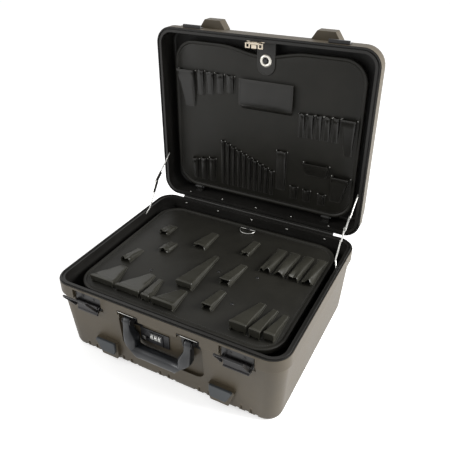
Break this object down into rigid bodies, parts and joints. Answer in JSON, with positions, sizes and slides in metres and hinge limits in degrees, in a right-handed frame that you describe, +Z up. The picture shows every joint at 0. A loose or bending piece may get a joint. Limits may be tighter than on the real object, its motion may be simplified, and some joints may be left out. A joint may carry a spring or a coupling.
{
  "type": "hard tool case",
  "caption": "Moulded hard tool case, open, with a hinged lid on folding stays, pocketed tool pallets, draw latches, a fold-down handle and a number lock.",
  "frame": {"origin": "middle of the underside of the base, on the surface that the case stands on", "axes": "+X along the width to the case's right seen from its front, +Y from the front to the hinge, +Z up"},
  "size_m": [0.451, 0.4605, 0.5347],
  "materials": {
    "shell": "satin, fine moulded grain",
    "frame_black": "satin black",
    "hinge_dark": "satin dark",
    "bright_steel": "bright, lightly brushed",
    "handle_black": "soft gloss",
    "foot_grey": "matte",
    "lever_grey": "satin",
    "lock_case": "satin",
    "dial_white": "gloss",
    "strike_brass": "satin",
    "post_black": "matte",
    "pallet_vinyl": "satin grained vinyl",
    "pocket_vinyl": "satin grained vinyl"
  },
  "bodies": {
    "root": {"base_shell": "shell", "base_rim_frame": "frame_black", "hinge_base_leaf": "hinge_dark", "hinge_pin": "bright_steel", "hinge_base_rivets": "bright_steel", "front_feet": "foot_grey", "pallet_rests": "post_black", "latch_plate_left": "bright_steel", "latch_plate_right": "bright_steel", "latch_rivets": "bright_steel", "handle_bracket_left": "bright_steel", "handle_bracket_right": "bright_steel", "lock_body": "lock_case", "lock_axle": "bright_steel"},
    "lid": {"lid_shell": "shell", "lid_rim_frame": "frame_black", "hinge_lid_leaf": "hinge_dark", "hinge_lid_rivets": "bright_steel", "lid_bumpers": "shell", "latch_keeper_left": "bright_steel", "latch_keeper_right": "bright_steel", "keeper_rivets": "bright_steel", "lock_strike": "strike_brass", "lid_pallet_clips": "bright_steel", "tab_anchor": "frame_black"},
    "base_pallet": {"base_pallet": "pallet_vinyl", "pallet_ring_clip": "bright_steel", "pallet_studs": "bright_steel", "pockets_front_left": "pocket_vinyl", "pockets_front_right": "pocket_vinyl", "pockets_right_row": "pocket_vinyl", "pockets_middle": "pocket_vinyl", "pockets_small": "pocket_vinyl"},
    "pull_ring": {"pallet_ring": "bright_steel"},
    "lid_pallet": {"lid_pallet": "pallet_vinyl", "pallet_tab": "pocket_vinyl", "tab_ring": "bright_steel", "pockets_lid_top_left": "pocket_vinyl", "pocket_lid_flap": "pocket_vinyl", "pockets_lid_top_right": "pocket_vinyl", "pockets_lid_tubes": "pocket_vinyl", "pockets_lid_low_left": "pocket_vinyl", "pockets_lid_low_right": "pocket_vinyl"},
    "tab_knob": {"tab_knob": "lock_case"},
    "stay_lower_left": {"stay_lower_left": "bright_steel"},
    "stay_upper_left": {"stay_upper_left": "bright_steel"},
    "latch_lever_left": {"latch_lever_left": "lever_grey"},
    "latch_bail_left": {"latch_bail_left": "bright_steel"},
    "stay_lower_right": {"stay_lower_right": "bright_steel"},
    "stay_upper_right": {"stay_upper_right": "bright_steel"},
    "latch_lever_right": {"latch_lever_right": "lever_grey"},
    "latch_bail_right": {"latch_bail_right": "bright_steel"},
    "handle": {"handle": "handle_black"},
    "lock_dial_1": {"lock_dial_1": "dial_white"},
    "lock_dial_2": {"lock_dial_2": "dial_white"},
    "lock_dial_3": {"lock_dial_3": "dial_white"},
    "lock_release": {"lock_release": "bright_steel"}
  },
  "joints": [
    {"name": "lid_hinge", "type": "hinge", "parent": "root", "child": "lid", "pos_m": [0, 0.187, 0.1503], "axis": [1, 0, 0], "range_deg": [0, 91]},
    {"name": "base_pallet_lift", "type": "slide", "parent": "root", "child": "base_pallet", "axis": [0, 0, -1], "range_m": [-0.42, 0]},
    {"name": "pull_ring_hinge", "type": "hinge", "parent": "base_pallet", "child": "pull_ring", "pos_m": [0.005, 0.148, 0.1355], "axis": [1, 0, 0], "range_deg": [-90, 0]},
    {"name": "lid_pallet_tilt", "type": "hinge", "parent": "lid", "child": "lid_pallet", "pos_m": [0, 0.21464, 0.16962], "axis": [-1, 0, 0], "range_deg": [-55, 0]},
    {"name": "tab_knob_turn", "type": "hinge", "parent": "lid_pallet", "child": "tab_knob", "pos_m": [0.004, 0.21732, 0.47182], "axis": [0, 0.9998, -0.0175], "range_deg": [0, 90]},
    {"name": "stay_lower_left_pivot", "type": "hinge", "parent": "root", "child": "stay_lower_left", "pos_m": [-0.2115, 0.09, 0.145], "axis": [1, 0, 0], "range_deg": [0, 122.43]},
    {"name": "stay_upper_left_pivot", "type": "hinge", "parent": "lid", "child": "stay_upper_left", "pos_m": [-0.2115, 0.19399, 0.24719], "axis": [-1, 0, 0], "range_deg": [0, 122.43]},
    {"name": "latch_lever_left_pivot", "type": "hinge", "parent": "root", "child": "latch_lever_left", "pos_m": [-0.147, -0.1826, 0.122], "axis": [1, 0, 0], "range_deg": [-100, 0]},
    {"name": "latch_bail_left_pivot", "type": "hinge", "parent": "root", "child": "latch_bail_left", "pos_m": [-0.147, -0.187, 0.118], "axis": [-1, 0, 0], "range_deg": [-60, 34]},
    {"name": "stay_lower_right_pivot", "type": "hinge", "parent": "root", "child": "stay_lower_right", "pos_m": [0.2115, 0.09, 0.145], "axis": [1, 0, 0], "range_deg": [0, 122.43]},
    {"name": "stay_upper_right_pivot", "type": "hinge", "parent": "lid", "child": "stay_upper_right", "pos_m": [0.2115, 0.19399, 0.24719], "axis": [-1, 0, 0], "range_deg": [0, 122.43]},
    {"name": "latch_lever_right_pivot", "type": "hinge", "parent": "root", "child": "latch_lever_right", "pos_m": [0.147, -0.1826, 0.122], "axis": [1, 0, 0], "range_deg": [-100, 0]},
    {"name": "latch_bail_right_pivot", "type": "hinge", "parent": "root", "child": "latch_bail_right", "pos_m": [0.147, -0.187, 0.118], "axis": [-1, 0, 0], "range_deg": [-60, 34]},
    {"name": "handle_pivot", "type": "hinge", "parent": "root", "child": "handle", "pos_m": [0, -0.182, 0.12], "axis": [-1, 0, 0], "range_deg": [0, 100]},
    {"name": "lock_dial_1_turn", "type": "hinge", "parent": "root", "child": "lock_dial_1", "pos_m": [-0.019, -0.169, 0.093], "axis": [1, 0, 0], "continuous": true},
    {"name": "lock_dial_2_turn", "type": "hinge", "parent": "root", "child": "lock_dial_2", "pos_m": [-0.0115, -0.169, 0.093], "axis": [1, 0, 0], "continuous": true},
    {"name": "lock_dial_3_turn", "type": "hinge", "parent": "root", "child": "lock_dial_3", "pos_m": [-0.004, -0.169, 0.093], "axis": [1, 0, 0], "continuous": true},
    {"name": "lock_release_slide", "type": "slide", "parent": "root", "child": "lock_release", "axis": [-1, 0, 0], "range_m": [-0.005, 0], "stiffness_N_per_m": 100}
  ],
  "couplings": [
    {"joint": "stay_lower_left_pivot", "follows": "lid_hinge", "ratio": 1.3453},
    {"joint": "stay_lower_right_pivot", "follows": "lid_hinge", "ratio": 1.3453},
    {"joint": "stay_upper_left_pivot", "follows": "lid_hinge", "ratio": 1.3453},
    {"joint": "stay_upper_right_pivot", "follows": "lid_hinge", "ratio": 1.3453}
  ]
}
